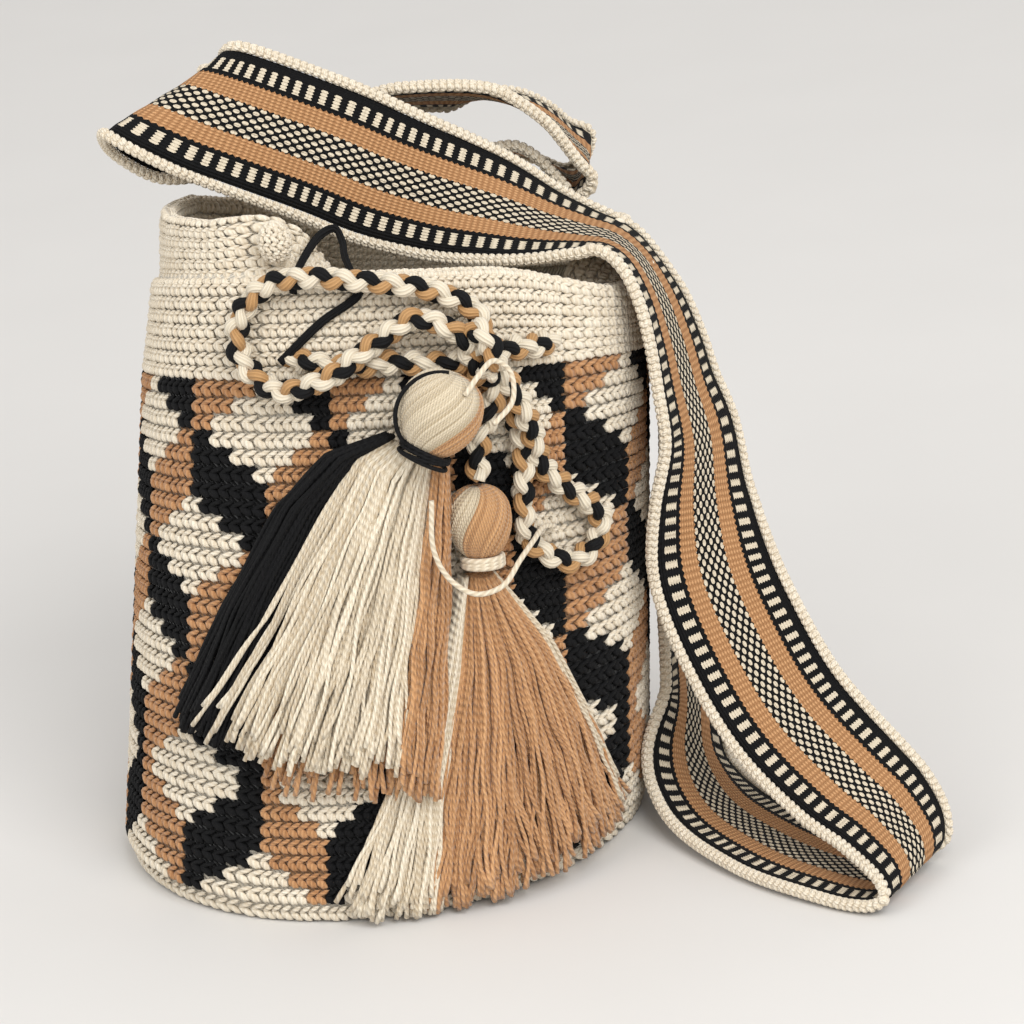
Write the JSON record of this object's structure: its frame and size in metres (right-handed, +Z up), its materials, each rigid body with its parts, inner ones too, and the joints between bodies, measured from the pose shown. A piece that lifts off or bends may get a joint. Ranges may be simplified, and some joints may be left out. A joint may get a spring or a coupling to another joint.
{
  "type": "wayuu mochila bag",
  "caption": "Crocheted bucket shoulder bag with a geometric pattern, a drawstring bow with tassels, and a wide woven strap draped over its mouth.",
  "frame": {"origin": "centre of the flat underside of the crocheted base", "axes": "+Z up, -Y towards the front with the bow and tassels, +X to the right seen from the front"},
  "size_m": [0.3475, 0.2831, 0.3503],
  "materials": {
    "crochet_cotton": "matt",
    "braided_cord": "matt",
    "cream_yarn": "matt",
    "tan_yarn": "matt",
    "black_yarn": "matt",
    "woven_strap": "matt"
  },
  "bodies": {
    "root": {"bag_body": "crochet_cotton", "drawstring": "braided_cord", "tassel_1_head": "cream_yarn", "tassel_1_tie": "black_yarn", "tassel_1_black_strands": "black_yarn", "tassel_1_cream_strands": "cream_yarn", "tassel_1_tan_strands": "tan_yarn", "tassel_1_hanging_loop": "cream_yarn", "tassel_2_head": "tan_yarn", "tassel_2_tie": "cream_yarn", "tassel_2_cream_strands": "cream_yarn", "tassel_2_tan_strands": "tan_yarn", "stray_thread": "cream_yarn", "strap_band": "woven_strap", "strap_near_edging": "cream_yarn", "strap_far_edging": "cream_yarn", "mouth_lace": "black_yarn", "mouth_nub": "crochet_cotton"}
  },
  "joints": []
}
